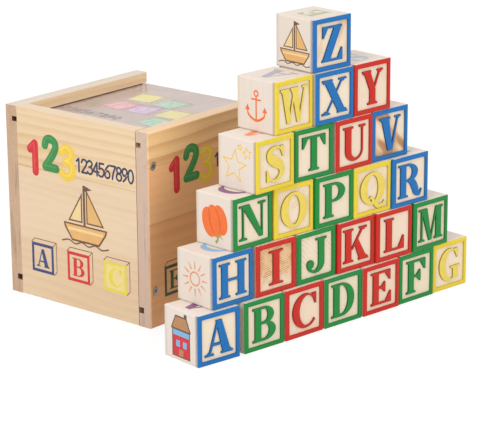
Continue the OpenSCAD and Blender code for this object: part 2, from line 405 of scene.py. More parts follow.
def pine_material(name, along, boards, pith, seed, end_tone, lit_top_tone, groove_y=1000.0,
                  groove_shade_strength=(1.0, 1.0)):
    """Clear pine glued up from boards, each (its top in mm, pale colour, grain colour, grain strength)."""
    g = Graph(name)
    rng = random.Random(seed)
    spot = g.spot()
    z = g.part(spot, "Z")
    seams = [top for top, *_ in boards[:-1]]
    pale, dark, amount = srgb(*boards[0][1]), srgb(*boards[0][2]), boards[0][3]
    moved = spot
    for seam, (_, next_pale, next_dark, next_amount) in zip(seams, boards[1:]):
        above = g.math("GREATER_THAN", z, seam)
        pale, dark = g.mix(above, pale, srgb(*next_pale)), g.mix(above, dark, srgb(*next_dark))
        amount = g.add("Mix", {0: above, 2: amount, 3: next_amount}).outputs[0]
        jump = [rng.uniform(60, 90), rng.uniform(60, 90), rng.uniform(18, 34)]
        three = g.add("CombineXYZ", {0: above, 1: above, 2: above}).outputs[0]
        moved = g.vector("ADD", moved, g.vector("MULTIPLY", three, jump))
    stretch = [0.004 if axis == along else 0.035 for axis in "xyz"]
    wide = g.noise(g.mapping(moved, Scale=stretch), 1.0, 3.0)
    rings = ring_grain(g, moved, along, pith, 4.6, 13.0)
    streak = fibres(g, moved, along)
    fine = fibres(g, moved, along, 2.6)
    line = g.times(rings, g.remap(wide, 0.35, 0.62, 0.25, 1.0), amount)
    color = g.mix(line, pale, dark)
    color = g.mix(g.remap(wide, 0.45, 0.7, 0.0, 0.3), color, dark)
    color = g.mix(g.remap(streak, 0.5, 0.78, 0.0, 0.3), color, dark)
    color = g.mix(g.remap(fine, 0.6, 0.82, 0.0, 0.22), color, srgb(150, 100, 60))
    for seam in seams:
        gap = g.remap(g.size(g.minus(z, seam)), 0.05, 0.35, 0.4, 0.0)
        color = g.mix(gap, color, srgb(165, 118, 74))
    # End grain drinks more of the finish, so it is darker and greyer
    normal = g.add("TexCoord").outputs["Normal"]
    end = g.remap(g.size(g.part(normal, along.upper())), 0.7, 0.95)
    pores = g.remap(g.noise(spot, 1.4, 4.0, 0.7), 0.35, 0.7, 0.7, 1.0)
    color = g.mix(g.times(end, pores), color, srgb(*end_tone))
    tilted = g.mapping(spot, Rotation=(0.25, 0, 0), Scale=(0.01, 0.55, 0.035))
    checks = g.remap(g.noise(tilted, 1.0, 3.0), 0.54, 0.68, 0.0, 0.5)
    color = g.mix(g.times(end, checks), color, shaded(srgb(*end_tone), 0.5))
    # Faces that look up are painted paler, a painted highlight of the light from above
    color = g.mix(g.remap(g.part(normal, "Z"), 0.8, 0.97, 0.0, 0.75), color, srgb(*lit_top_tone))
    # The sawn grooves are painted dark near the crate's front, a painted shade where they show as notches
    groove_shade = 0.0
    for (low, high), strength in zip(GROOVES, groove_shade_strength):
        level = g.math("COMPARE", z, (low + high) / 2, (high - low) / 2 + 0.1)
        groove_shade = g.plus(g.times(level, strength), groove_shade)
    across = g.math("COMPARE", g.part(spot, "Y"), groove_y, GROOVE_DEPTH / 2 + 0.15)
    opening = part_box("right_side_panel")[0][0] / MM
    near = g.remap(g.part(spot, "X"), opening + 8, opening + 14, 1.0, 0.1)
    groove_shade = g.times(groove_shade, across, g.minus(0.9, end), near)
    color = g.mix(g.math("MAXIMUM", groove_shade, 0.0), color, srgb(100, 58, 38))
    rough = g.remap(streak, 0.3, 0.8, 0.46, 0.62)
    height = g.plus(g.times(fine, 0.5), g.times(rings, 0.3))
    return g.finish(color, rough, height, 0.00008, Specular_IOR_Level=0.4)


def ply_material():
    g = Graph("plywood")
    spot = g.spot()
    z = g.part(spot, "Z")
    rings = ring_grain(g, spot, "x", (0, 40, -160), 9.0, 50.0)
    streak = fibres(g, spot, "x")
    color = g.mix(g.times(rings, 0.4), srgb(226, 194, 150), srgb(196, 152, 104))
    color = g.mix(g.remap(streak, 0.5, 0.8, 0.0, 0.3), color, srgb(176, 130, 86))
    core = g.remap(g.size(g.minus(z, 10.0)), 0.45, 0.55, 0.5, 0.0)
    color = g.mix(core, color, srgb(150, 105, 68))
    # What lies in the side grooves is painted dark, a painted shade
    low, high = (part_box("bottom_panel")[k][1] / MM for k in (0, 1))
    off = g.size(g.minus(g.part(spot, "Y"), (low + high) / 2))
    shown = (high - low) / 2 - GROOVE_DEPTH
    ply_groove_shade = g.remap(off, shown - 0.2, shown + 0.6, 0.0, 0.8)
    color = g.mix(ply_groove_shade, color, srgb(66, 38, 24))
    return g.finish(color, 0.6, streak, 0.0001)


def acrylic_material():
    """Clear acrylic with a faint haze of fine scratches and handling, over a pale pinkish diffuse layer that
    is partly milky haze and partly a painted sheen of the reflected studio and the wood inside.
    """
    g = Graph("clear_acrylic")
    spot = g.spot()
    haze = g.noise(spot, 0.05, 3.0)
    wipe = g.noise(g.mapping(spot, Scale=(0.02, 0.3, 1)), 1.0, 3.0)
    rough = g.plus(g.remap(haze, 0.35, 0.7, 0.16, 0.24), g.times(wipe, 0.05))
    clear = g.shader("BsdfTransparent", (0.97, 0.955, 0.95, 1.0))
    # Pale pinkish diffuse, more than half of the body: partly haze, partly a painted sheen
    haze_and_sheen = g.shader("BsdfDiffuse", srgb(246, 222, 210))
    body = g.blend(g.remap(haze, 0.3, 0.75, 0.54, 0.62), clear, haze_and_sheen)
    gloss = g.shader("BsdfGlossy", (0.95, 0.93, 0.93, 1.0), Roughness=rough)
    glance = g.add("Fresnel", {"IOR": 1.49}).outputs[0]
    return g.close(g.blend(glance, body, gloss))


def steel_material(name, tone_share):
    """Zinc plate in bright and dull specks, at a share of its tone: a small share makes the dark ring round
    a screw's head, a painted shade of the countersink's gap.
    """
    g = Graph(name)
    spot = g.spot()
    speck = g.noise(spot, 3.0, 4.0)
    bright, dull = srgb(206, 203, 200), srgb(146, 142, 138)
    color = g.mix(g.remap(speck, 0.4, 0.7), shaded(bright, tone_share), shaded(dull, tone_share))
    return g.finish(color, g.remap(speck, 0.3, 0.7, 0.36, 0.52), speck, 0.00003, Metallic=0.75)


# Outlines: lists of points, counter-clockwise or not, in the units of their shape
def rect(x0, y0, x1, y1):
    return [(x0, y0), (x1, y0), (x1, y1), (x0, y1)]


def ellipse(cx, cy, rx, ry, a0=0.0, a1=360.0, n=40):
    count = n if a1 - a0 < 360 else n - 1
    return [(cx + rx * cos(radians(a0 + (a1 - a0) * k / n)),
             cy + ry * sin(radians(a0 + (a1 - a0) * k / n))) for k in range(count + 1)]


def band(cx, cy, rx, ry, left, right, cap, a0, a1):
    """Part of a ring: thickness left and right at the sides, cap at the top and bottom."""
    inner = ellipse(cx + (left - right) / 2, cy, rx - (left + right) / 2, ry - cap, a0, a1, 28)
    return ellipse(cx, cy, rx, ry, a0, a1, 28) + inner[::-1]


def ring(cx, cy, rx, ry, side, cap):
    return [band(cx, cy, rx, ry, side, side, cap, a - 4, a + 184) for a in (0, 180)]


def curve(points, steps):
    """A smooth line through the points."""
    ends = [points[0]] + list(points) + [points[-1]]
    line = []
    for k in range(len(points) - 1):
        p = [Vector(q) for q in ends[k:k + 4]]
        for s in range(steps):
            t = s / steps
            line.append(0.5 * (2 * p[1] + (p[2] - p[0]) * t + (2 * p[0] - 5 * p[1] + 4 * p[2] - p[3]) * t * t
                               + (3 * p[1] - p[0] - 3 * p[2] + p[3]) * t ** 3))
    return line + [Vector(points[-1])]


def ribbon(points, widths, steps=6):
    """A brush stroke along a smooth line, with a width at each of its points."""
    line = curve(points, steps)
    wide = curve([(w, 0.0) for w in widths], steps)
    left, right = [], []
    for k, p in enumerate(line):
        run = (line[min(k + 1, len(line) - 1)] - line[max(k - 1, 0)]).normalized()
        side = Vector((-run.y, run.x)) * wide[k].x / 2
        left.append(tuple(p + side))
        right.append(tuple(p - side))
    return left + right[::-1]


def strokes(points, width, closed=False):
    """Straight strokes with round joints along a line."""
    shapes = [ellipse(x, y, width / 2, width / 2, n=12) for x, y in points]
    pairs = list(zip(points, points[1:] + points[:1]))
    for a, b in pairs if closed else pairs[:-1]:
        shapes.append(ribbon([a, b], [width, width], 1))
    return shapes


def pen(lines, width):
    """Even rounded strokes along smooth lines."""
    shapes = []
    for line in lines:
        shapes.append(ribbon(line, [width] * len(line)))
        shapes += [ellipse(x, y, width / 2, width / 2, n=16) for x, y in (line[0], line[-1])]
    return shapes


# Centre lines of numerals in a box 0.62 wide and 1 high
SIX = [(.46, .94), (.24, .72), (.10, .40), (.14, .12), (.32, .03), (.50, .14), (.53, .36), (.40, .53),
       (.22, .50), (.12, .36)]
NUMERALS = {
    "0": [ellipse(.31, .5, .23, .46, 90, 270, 8), ellipse(.31, .5, .23, .46, 270, 450, 8)],
    "1": [[(.14, .76), (.36, .96)], [(.36, .96), (.36, .04)]],
    "2": [[(.08, .74), (.16, .92), (.34, .97), (.52, .88), (.54, .70), (.40, .45), (.08, .04)],
          [(.08, .04), (.56, .04)]],
    "3": [[(.09, .84), (.26, .97), (.48, .90), (.52, .72), (.38, .56), (.24, .53)],
          [(.24, .53), (.44, .49), (.55, .30), (.46, .10), (.26, .03), (.07, .15)]],
    "4": [[(.44, .04), (.44, .96)], [(.44, .96), (.05, .30)], [(.05, .30), (.60, .30)]],
    "5": [[(.52, .96), (.14, .96)], [(.14, .96), (.11, .56)],
          [(.11, .56), (.30, .62), (.50, .52), (.54, .30), (.42, .09), (.24, .03), (.06, .12)]],
    "6": [SIX],
    "7": [[(.06, .96), (.56, .96)], [(.56, .96), (.34, .50), (.24, .04)]],
    "8": [ellipse(.31, .75, .19, .21, 90, 270, 6), ellipse(.31, .75, .19, .21, 270, 450, 6),
          ellipse(.31, .28, .23, .25, 90, 270, 6), ellipse(.31, .28, .23, .25, 270, 450, 6)],
    "9": [[(.62 - x, 1 - y) for x, y in SIX]],
}


# Carved capitals, one unit high: stems, hairlines, slab serifs with small brackets
STEM = 0.23
HAIR = 0.064
SLAB = 0.055
OVER = 0.08
BRACKET = 0.05


def slab(x0, x1, y, up, left, right):
    """A serif over a stem's end at height y, its brackets towards up."""
    def bracket(edge, reach):
        for t in (0, 0.35, 0.7, 1):
            yield (edge + reach * (1 - t) ** 2, y + up * (SLAB + BRACKET * t * t))
    return [(x0 - left, y), (x1 + right, y)] + list(bracket(x1, right)) + list(bracket(x0, -left))[::-1]


def head(x0, x1, left=OVER, right=OVER):
    return slab(x0, x1, 1, -1, left, right)


def base(x0, x1, left=OVER, right=OVER):
    return slab(x0, x1, 0, 1, left, right)


def bowl(*sizes):
    """The right half of a ring, as in B, D, P and R."""
    return band(*sizes, HAIR, -90, 90)


def post(x, width=STEM, top=(OVER, OVER), bottom=(OVER, OVER)):
    shapes = [rect(x, 0, x + width, 1)]
    if top:
        shapes.append(head(x, x + width, *top))
    if bottom:
        shapes.append(base(x, x + width, *bottom))
    return shapes


def beak(x, y, dx, dy, arm):
    """The wedge at the end of a bar: its corner at x, y, its arm back along the bar."""
    return [(x, y), (x, y + dy), (x - copysign(0.045, dx), y + dy), (x - dx, y + copysign(arm, dy)),
            (x - dx, y)]


def quad(b0, b1, t1, t0, low=0.0):
    """A slanting stem from b0..b1 at its foot to t0..t1 at its head."""
    return [(b0, low), (b1, low), (t1, 1.0), (t0, 1.0)]


LEFT_ONLY = (OVER, 0.0)
SPINE = post(.08, STEM, LEFT_ONLY, LEFT_ONLY)
GLYPHS = {
    "a": (1.02, [quad(.12, .195, .51, .44), quad(.645, .93, .61, .40), rect(.24, .27, .72, .345),
        base(.12, .195, .11, .12), base(.645, .93, .07, .07)]),
    "b": (.88, SPINE + [rect(.2, 1 - HAIR, .46, 1), rect(.2, .49, .46, .56), rect(.2, 0, .46, HAIR),
        bowl(.44, .745, .35, .255, .2, .22), bowl(.45, .28, .41, .28, .2, .24)]),
    "c": (.98, [band(.52, .5, .50, .515, .265, .09, .07, 42, 322), beak(.95, .98, .16, -.33, .07)]),
    "d": (.94, SPINE + [rect(.2, 1 - HAIR, .42, 1), rect(.2, 0, .42, HAIR),
        bowl(.40, .5, .50, .5, .2, .25)]),
    "e": (.86, SPINE + [rect(.2, 1 - HAIR, .79, 1), rect(.2, .47, .56, .54), rect(.2, 0, .82, HAIR),
        beak(.80, 1, .22, -.31, HAIR), beak(.83, 0, .23, .34, HAIR),
        [(.59, .345), (.59, .665), (.55, .665), (.43, .54), (.43, .47), (.55, .345)]]),
    "f": (.84, post(.08, STEM, LEFT_ONLY) + [rect(.2, 1 - HAIR, .79, 1), rect(.2, .47, .56, .54),
        beak(.81, 1, .23, -.34, HAIR),
        [(.60, .33), (.60, .68), (.56, .68), (.43, .54), (.43, .47), (.56, .33)]]),
    "g": (.97, [band(.47, .5, .45, .515, .265, .09, .07, 42, 325), beak(.84, .98, .16, -.30, .07),
        rect(.62, .05, .62 + STEM, .42), slab(.62, .62 + STEM, .44, -1, .11, .08)]),
    "h": (1.0, post(.08) + post(.92 - STEM) + [rect(.2, .465, .8, .535)]),
    "i": (.54, post(.15, .24, (.14, .14), (.14, .14))),
    "j": (.80, [rect(.47, .26, .47 + STEM, 1), head(.47, .47 + STEM, .10, .09),
        band(.36, .27, .34, .285, .13, STEM, .08, 180, 360), ellipse(.155, .27, .135, .125)]),
    "k": (1.02, post(.08) + [quad(.285, .36, .835, .76, .36), head(.75, .84, .12, .10),
        [(.655, 0), (.955, 0), (.585, .65), (.455, .50)], base(.655, .955, .05, .05)]),
    "l": (.84, post(.08, STEM, (OVER, OVER), LEFT_ONLY) + [rect(.2, 0, .80, HAIR),
        beak(.82, 0, .24, .40, HAIR)]),
    "m": (1.05, post(.10, HAIR, None, (.09, .09)) + post(.74, STEM, (0, .07), (.06, .07))
        + [quad(.44, .56, .36, .10), quad(.49, .55, .775, .725), rect(.01, 1 - SLAB, .2, 1)]),
    "n": (1.04, [quad(.115, .175, .175, .115), base(.115, .175, .105, .115), rect(.01, 1 - SLAB, .2, 1),
        [(.09, 1), (.39, 1), (.91, .07), (.91, 0), (.78, 0)], rect(.85, 0, .91, 1),
        head(.85, .91, .115, .11)]),
    "o": (.96, ring(.48, .5, .495, .51, .27, .085)),
    "p": (.86, post(.08, STEM, LEFT_ONLY) + [rect(.2, 1 - HAIR, .44, 1), rect(.2, .44, .44, .44 + HAIR),
        bowl(.43, .72, .41, .28, .2, .23)]),
    "q": (.98, ring(.48, .53, .50, .485, .27, .085)
        + [ribbon([(.30, .20), (.42, .27), (.56, .10), (.70, -.03), (.90, -.01), (.97, .10)],
                  [.03, .08, .13, .13, .09, .03])]),
    "r": (1.0, post(.08, STEM, LEFT_ONLY) + [rect(.2, 1 - HAIR, .44, 1), rect(.2, .46, .46, .46 + HAIR),
        bowl(.42, .73, .38, .27, .2, .23),
        ribbon([(.42, .50), (.58, .42), (.685, .25), (.75, .09), (.87, .03), (.965, .17)],
               [.10, .22, .24, .20, .11, .04])]),
    "s": (.84, [ribbon([(.70, .74), (.63, .90), (.43, .965), (.22, .87), (.21, .70), (.42, .55),
                        (.64, .40), (.65, .19), (.44, .035), (.21, .09), (.12, .28)],
                       [.05, .065, .075, .16, .24, .30, .24, .16, .075, .065, .05]),
        beak(.75, .98, .13, -.31, .08), beak(.07, .02, -.13, .32, .08)]),
    "t": (.90, post(.335, STEM, None) + [rect(0, 1 - HAIR, .90, 1), beak(0, 1, -.21, -.33, HAIR),
        beak(.90, 1, .21, -.33, HAIR)]),
    "u": (.93, [rect(.10, .28, .10 + STEM, 1), head(.10, .10 + STEM), rect(.755, .28, .81, 1),
        head(.755, .81, .10, .10), band(.455, .29, .355, .305, STEM, .055, .08, 180, 360)]),
    "v": (.90, [quad(.36, .555, .395, .085), quad(.47, .555, .80, .74), head(.085, .39, .07, .06),
        head(.74, .80, .10, .09)]),
    "w": (1.10, [quad(.265, .395, .31, .055), quad(.32, .39, .595, .54), quad(.655, .785, .69, .435),
        quad(.71, .78, 1.0, .945), head(.06, .30, .05, .05), head(.44, .68, .04, .05),
        head(.94, 1.01, .08, .08)]),
    "x": (1.02, [quad(.66, .96, .37, .07), quad(.125, .185, .855, .795), base(.66, .96, .05, .05),
        head(.07, .37, .05, .05), base(.125, .185, .115, .135), head(.795, .855, .135, .115)]),
    "y": (.83, [quad(.30, .53, .31, .05, .42), quad(.43, .50, .75, .69, .44), rect(.30, 0, .53, .46),
        base(.30, .53), head(.05, .30, .05, .05), head(.69, .75, .09, .08)]),
    "z": (.86, [rect(.05, 1 - HAIR, .81, 1), rect(.03, 0, .81, HAIR), quad(.03, .32, .81, .52),
        beak(.05, 1, -.2, -.33, HAIR), beak(.83, 0, .2, .35, HAIR)]),
}


def placed(shapes, scale=1.0, x=0.0, y=0.0, turn=0.0):
    c, s = cos(radians(turn)) * scale, sin(radians(turn)) * scale
    return [[(x + c * px - s * py, y + s * px + c * py) for px, py in shape] for shape in shapes]


def glyph(letter, cap):
    """A capital's outlines in millimetres, centred on the origin."""
    width, shapes = GLYPHS[letter]
    return placed(shapes, cap, -width * cap / 2, -cap / 2)


# Small pictures in a square from -1 to 1: a list of inks and outlines, later ones on top
def angles(count):
    return [2 * pi * k / count for k in range(count)]


def star(cx, cy, r, turn):
    """A five-pointed star: its points at r, the corners between them nearer in."""
    reach = (r, r * 0.42)
    return [(cx + reach[k % 2] * cos(radians(turn + 36 * k)),
             cy + reach[k % 2] * sin(radians(turn + 36 * k))) for k in range(10)]


def heart(r):
    return [(r * 0.062 * 16 * sin(t) ** 3,
             r * 0.062 * (13 * cos(t) - 5 * cos(2 * t) - 2 * cos(3 * t) - cos(4 * t)) + 0.1)
            for t in angles(40)]


def rays(count, r0, r1, width):
    return [ribbon([(r0 * cos(a), r0 * sin(a)), (r1 * cos(a), r1 * sin(a))], [width, width * 0.3], 1)
            for a in angles(count)]


PICTURES = {
    "toadstool": [
        ("tan", [[(-.2, -.92), (.2, -.92), (.14, .05), (-.14, .05)]]),
        ("red", [ellipse(0, -.02, .74, .86, 0, 180)]),
        ("yellow", [ellipse(-.34, .28, .12, .12), ellipse(.08, .55, .14, .13), ellipse(.4, .24, .11, .11)])],
    "house": [
        ("outline", [[(-.66, .22), (-.36, .84), (.36, .84), (.66, .22)], rect(-.58, -.95, .58, .26),
            rect(.2, .8, .38, .98)]),
        ("red", [rect(-.52, -.89, .52, -.02)]),
        ("sky", [rect(-.52, -.02, .52, .2), rect(-.32, -.5, -.08, -.22), rect(.12, -.5, .36, -.22)]),
        ("tan", [[(-.56, .28), (-.32, .78), (.32, .78), (.56, .28)], rect(-.14, -.89, .14, -.6)])],
    "sun": [("peach", ring(0, 0, .34, .34, .07, .07) + rays(12, .46, .82, .09))],
    "pumpkin": [
        ("orange", [ellipse(-.34, 0, .42, .66), ellipse(.34, 0, .42, .66), ellipse(0, 0, .42, .72)]),
        ("red", [ribbon([(-.2, .52), (-.3, 0), (-.2, -.56)], [.02, .035, .02]),
            ribbon([(.2, .52), (.3, 0), (.2, -.56)], [.02, .035, .02])]),
        ("olive", [ribbon([(0, .58), (.03, .78), (.2, .92)], [.13, .1, .13]),
            [(0, .62), (-.3, .86), (-.12, .6)]])],
    "stars": [
        ("gold", strokes(star(-.2, -.12, .82, 84), .055, True)
            + strokes(star(.66, .62, .30, 100), .05, True)
            + strokes(star(.18, .86, .17, 80), .045, True))],
    "anchor": [
        ("orange", strokes([(0, .42), (0, -.72)], .09) + ring(0, .58, .17, .17, .08, .08)
            + strokes([(-.3, .28), (.3, .28)], .08)
            + [ribbon([(-.6, -.15), (-.5, -.52), (0, -.75), (.5, -.52), (.6, -.15)],
                      [.05, .11, .12, .11, .05]),
               [(-.74, -.3), (-.58, .0), (-.42, -.3)], [(.74, -.3), (.58, .0), (.42, -.3)]])],
    "boat": [
        ("outline", [[(-.90, -.30), (.95, -.30), (.90, -.46), (.60, -.86), (-.56, -.86), (-.86, -.46)],
            rect(-.05, -.35, .04, .98), [(.08, -.23), (.08, .90), (.82, -.23)],
            [(-.09, -.23), (-.09, .74), (-.70, -.23)], [(.04, .98), (.04, .80), (.34, .89)]]
            + pen([[(-.98, -.93), (-.7, -.86), (-.42, -.95), (-.14, -.86), (.14, -.95), (.42, -.86),
                    (.7, -.95), (.98, -.88)]], .045)),
        ("honey", [[(-.82, -.35), (.87, -.35), (.83, -.46), (.57, -.80), (-.53, -.80), (-.78, -.46)],
            [(.13, -.18), (.13, .74), (.73, -.18)]]),
        ("cream", [[(-.14, -.18), (-.14, .57), (-.61, -.18)], rect(-.72, -.53, .77, -.44)])],
    "heart": [("red", [heart(.8)])],
    "moon": [("sky", [ellipse(0, 0, .75, .75, 60, 300) + ellipse(.3, 0, .62, .68, 70, 290)[::-1]])],
    "flower": [
        ("pink", [ellipse(.42 * cos(a + .3), .15 + .42 * sin(a + .3), .27, .27) for a in angles(5)]),
        ("yellow", [ellipse(0, .15, .2, .2)]),
        ("green", [ribbon([(0, -.3), (.06, -.6), (0, -.9)], [.06, .06, .06])])],
    "fish": [
        ("blue", [ellipse(.1, 0, .6, .36), [(-.85, .35), (-.4, 0), (-.85, -.35)]]),
        ("sky", [ellipse(.42, .08, .07, .07)])],
    "balloon": [
        ("purple", [ellipse(0, .25, .46, .56), [(-.1, -.42), (.1, -.42), (0, -.28)]]),
        ("navy", [ribbon([(0, -.4), (.1, -.6), (-.05, -.75), (.05, -.95)], [.03, .03, .03, .03])])],
    "leaf": [
        ("green", [ribbon([(-.7, -.6), (-.2, -.1), (.3, .3), (.75, .7)], [.02, .62, .55, .02])]),
        ("olive", strokes([(-.8, -.7), (.4, .36)], .04))],
}


def closed_mesh(bm, place):
    """A mesh in metres from a closed shape in millimetres, put where place says."""
    bmesh.ops.recalc_face_normals(bm, faces=bm.faces[:])
    bmesh.ops.transform(bm, matrix=place @ Matrix.Scale(MM, 4), verts=bm.verts[:])
    mesh = bpy.data.meshes.new("part")
    bm.to_mesh(mesh)
    bm.free()
    return mesh


def solid_mesh(outlines, place, low, high, bevel=0.0, cut=()):
    """A closed prism over the union of the outlines, less those in cut, from low to high above the face
    that place puts it on. The outlines are in millimetres."""
    points, faces = [], []
    for line in list(outlines) + list(cut):
        area = sum(a[0] * b[1] - b[0] * a[1] for a, b in zip(line, line[1:] + line[:1]))
        faces.append(list(range(len(points), len(points) + len(line))))
        points += [Vector(p) for p in (line if area > 0 else line[::-1])]
    verts, _, tris, _, _, owners = delaunay_2d_cdt(points, [], faces, 0, 1e-4, True)
    tris = [t for t, owner in zip(tris, owners) if owner and max(owner) < len(outlines)]
    sides = {(t[k], t[(k + 1) % len(t)]) for t in tris for k in range(len(t))}
    rim = [(a, b) for a, b in sides if (b, a) not in sides]
    bm = bmesh.new()
    used = sorted({v for t in tris for v in t})
    bottom = {v: bm.verts.new((verts[v].x, verts[v].y, low)) for v in used}
    top = {v: bm.verts.new((verts[v].x, verts[v].y, high)) for v in used}
    for t in tris:
        bm.faces.new([top[v] for v in t])
        bm.faces.new([bottom[v] for v in reversed(t)])
    for a, b in sorted(rim):
        bm.faces.new((bottom[a], bottom[b], top[b], top[a]))
    bmesh.ops.dissolve_limit(bm, angle_limit=0.005, verts=bm.verts[:], edges=bm.edges[:], delimit={"NORMAL"})
    if bevel:
        edges = [e for e in bm.edges if all(abs(v.co.z - high) < 1e-4 for v in e.verts)
                 and any(abs(f.normal.z) < 0.5 for f in e.link_faces)]
        bmesh.ops.bevel(bm, geom=edges, offset=bevel, segments=2, profile=0.5, affect="EDGES",
                        clamp_overlap=True)
    return closed_mesh(bm, place)


def new_object(name, parts):
    """One object from several meshes with a material each."""
    bm = bmesh.new()
    mesh = bpy.data.meshes.new(name)
    for index, (part, material) in enumerate(parts):
        start = len(bm.faces)
        bm.from_mesh(part)
        bm.faces.ensure_lookup_table()
        for face in bm.faces[start:]:
            face.material_index = index
            face.smooth = True
        mesh.materials.append(material)
    bm.to_mesh(mesh)
    bm.free()
    mesh.set_sharp_from_angle(angle=radians(35))
    return linked(name, mesh)


SIDES = {   # the way right and the way up, as seen from outside the face
    "front": ((1, 0, 0), (0, 0, 1)),
    "back": ((-1, 0, 0), (0, 0, 1)),
    "left": ((0, -1, 0), (0, 0, 1)),
    "right": ((0, 1, 0), (0, 0, 1)),
    "top": ((1, 0, 0), (0, 1, 0)),
    "lid": ((0, -1, 0), (1, 0, 0)),
    "under": ((1, 0, 0), (0, -1, 0)),
}


def face_place(side, out, x=0.0, y=0.0, z=0.0):
    """The frame of a face: X to the right, Y up and Z out of it, out metres from x, y, z."""
    right, up = (Vector(v) for v in SIDES[side])
    normal = right.cross(up)
    place = Matrix((right, up, normal)).transposed().to_4x4()
    place.translation = Vector((x, y, z)) + normal * out
    return place


def block_place(node):
    """A block's centre and turn, read from its solid."""
    low, high = (Vector(v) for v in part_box(node))
    out = Vector((0, 0, 0))
    for face in NODES[node].data.polygons:
        if face.normal.y < -0.9:
            out += face.normal * face.area
    turn = atan2(out.x, -out.y)
    return Matrix.Translation((low + high) / 2) @ Matrix.Rotation(turn, 4, "Z")


def dress(node, material):
    mesh = NODES[node].data
    mesh.materials.clear()
    mesh.materials.append(material)


def ink_film(outlines, place, level):
    """A thin ink film on a face, with so many levels of film under it."""
    low = INK_LIFT + level * INK_THICK
    return solid_mesh(outlines, place, low, low + INK_THICK)


def ink_parts(layers, place, size, inks, turn):
    """Ink films, one above another, on a face."""
    return [(ink_film(placed(outlines, size, 0, 0, turn), place, level), inks[ink])
            for level, (ink, outlines) in enumerate(layers)]


# The picture on each block's left face, in the order of the alphabet, and its turn where it isn't random
PICTURE_ORDER = ("house", "moon", "fish", "heart", "leaf", "flower", "balloon",
                 "sun", "boat", "heart", "leaf", "fish", "moon",
                 "pumpkin", "flower", "anchor", "balloon", "heart",
                 "stars", "toadstool", "boat", "leaf",
                 "anchor", "sun", "flower",
                 "boat")
PICTURE_TURNS = {"a": 0, "h": 180, "n": 196, "s": 0, "w": 0, "z": 0}
# Half a picture's width in millimetres, on the left faces and on the right ones
LEFT_PICTURE = 10.5
RIGHT_PICTURE = 10.0
PICTURE_SIZES = {"a": 13.5, "h": 12.5, "n": 13.0, "s": 11.5, "w": 11.5, "z": 12.8}
# Printed capital, ink, turn and size on the tops that show
TOPS = {"a": ("a", "purple", 90, 1.4), "h": ("d", "sky", 180, 1.2), "n": ("c", "purple", 0, 1.2),
        "s": ("v", "orange", -90, 1.1), "w": ("a", "blue", 90, 1.25), "z": ("e", "green", 90, 1.0),
        "y": ("s", "sky", 0, 1.2), "v": ("h", "green", 90, 1.0), "r": ("b", "blue", 180, 1.1),
        "m": ("u", "purple", 90, 1.0), "g": ("t", "red", 0, 1.0)}
# Inks that the other printed capitals take at random
MARK_INKS = ("purple", "sky", "green", "orange", "blue", "pink", "red")


def add_blocks(inks):
    rng = random.Random(26)
    half = HALF * MM
    quarter = (0, 90, 180, 270)
    for i, letter in enumerate(LETTERS):
        node = "block_" + letter
        place = block_place(node)
        dress(node, block_material(i, place, rng))
        paint = letter_material(i, place, rng)
        shapes = glyph(letter, CAP)
        parts = []
        for side in ("front", "back"):
            mesh = solid_mesh(shapes, place @ face_place(side, half), LETTER_FOOT, LETTER_TOP, LETTER_EASE)
            parts.append((mesh, paint))
        raised = new_object("letter_" + letter, parts)
        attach(raised, node)
        turn = PICTURE_TURNS.get(letter, rng.choice(quarter))
        prints = ink_parts(PICTURES[PICTURE_ORDER[i]], place @ face_place("left", half),
                           PICTURE_SIZES.get(letter, LEFT_PICTURE), inks, turn)
        other = PICTURES[PICTURE_ORDER[(i + 7) % 26]]
        prints += ink_parts(other, place @ face_place("right", half), RIGHT_PICTURE, inks,
                            rng.choice(quarter))
        plain = (letter, rng.choice(MARK_INKS), rng.choice(quarter), 1.0)
        top, ink, turn, size = TOPS.get(letter, plain)
        above = [(ink, glyph(top, PRINT_CAP))]
        prints += ink_parts(above, place @ face_place("top", half), size, inks, turn)
        under = [(rng.choice(MARK_INKS), glyph(LETTERS[(i + 11) % 26], PRINT_CAP))]
        prints += ink_parts(under, place @ face_place("under", half), 1, inks, rng.choice(quarter))
        printed = new_object("print_" + letter, prints)
        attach(printed, node)


# The crate's print, in millimetres from the left and the bottom edge of each face: the big 1, 2 and 3
# (ink and middle height), their glints, the row of small digits, the picture and the drawn blocks
BIG_DIGITS = (("red", 87.0), ("green", 91.5), ("gold", 88.0))
BIG_X = 23.0
BIG_PITCH = 13.5
BIG_HEIGHT = 18.5
BIG_STROKE = 5.2
GLINT_SHIFT = 0.7
GLINT_STROKE = 0.9
DIGITS = "1234567890"
SMALL_ROW = {"height": 8.4, "pitch": 4.58, "x": 59.3, "y": 88.5, "width": 1.25}
PICTURE_X = 63.0
PICTURE_Y = 58.0
PICTURE_HALF = 19.0
TILE = 18.0
TILE_X = 57.0
TILE_Y = 25.5
TILE_PITCHES = {3: 29.5, 4: 23.9}
# The lid's print, in millimetres from its middle: a row of digits, and tiles (ink, letter, x, y, turn)
LID_ROW = {"height": 7.0, "pitch": 5.2, "x": -48, "y": -23, "width": 0.9}
LID_TILE = 16.0
LID_TILES = (("lemon", "m", -21, 24, 8), ("mint", "n", 1, 21, -6), ("rose", "p", -21, 1, -10),
             ("lilac", "q", -3, 1, 7), ("mint", "r", 23, -17, -8), ("lemon", "s", 20, 3, 5))


def number_row(digits, height, pitch, x, y, width):
    shapes = []
    for k, digit in enumerate(digits):
        lines = pen(NUMERALS[digit], width / height)
        shapes += placed(lines, height, x + k * pitch - 0.31 * height, y - height / 2)
    return shapes


